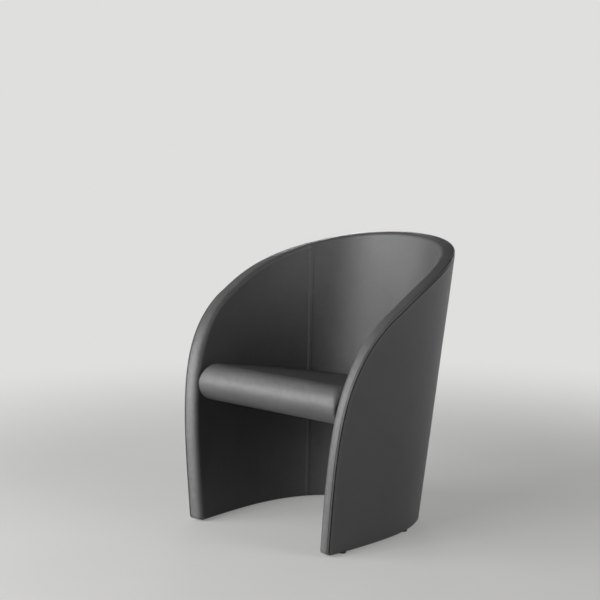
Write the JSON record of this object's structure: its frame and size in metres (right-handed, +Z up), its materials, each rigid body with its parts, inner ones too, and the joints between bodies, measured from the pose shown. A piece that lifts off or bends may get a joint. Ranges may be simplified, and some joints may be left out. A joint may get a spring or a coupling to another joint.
{
  "type": "tub chair",
  "caption": "Upholstered tub chair: one curved leather shell from floor to rim, with a sloping seat hung inside it.",
  "frame": {"origin": "on the floor, below the middle of the chair's width and depth", "axes": "+Z up, the chair faces -Y, +X is the side of the right-hand arm as seen from the front"},
  "size_m": [0.6616, 0.653, 0.78],
  "materials": {
    "leather": "dark grey, soft low sheen, fine grain",
    "plywood": "moulded beech plywood, sanded",
    "beech": "planed beech",
    "foam": "cut upholstery foam",
    "webbing": "woven elastic webbing",
    "cloth": "non-woven underside cloth",
    "strip": "black base strip",
    "glide": "black moulded plastic",
    "steel": "zinc plated"
  },
  "bodies": {
    "root": {"plywood_shell": "plywood", "outer_foam": "foam", "inner_foam_left": "foam", "inner_foam_back": "foam", "inner_foam_right": "foam", "inner_cover_left": "leather", "inner_cover_back": "leather", "inner_cover_right": "leather", "outer_cover": "leather", "edge_welt": "leather", "base_strip": "strip", "glides": "glide", "seat_ring": "plywood", "seat_front_rail": "beech", "webbing_across": "webbing", "webbing_lengthwise": "webbing", "seat_foam": "foam", "seat_cover": "leather", "seat_cloth": "cloth", "seat_blocks": "beech", "spacer_bushes": "steel", "seat_bolts": "steel", "tee_nuts": "steel", "block_screws": "steel"}
  },
  "joints": []
}
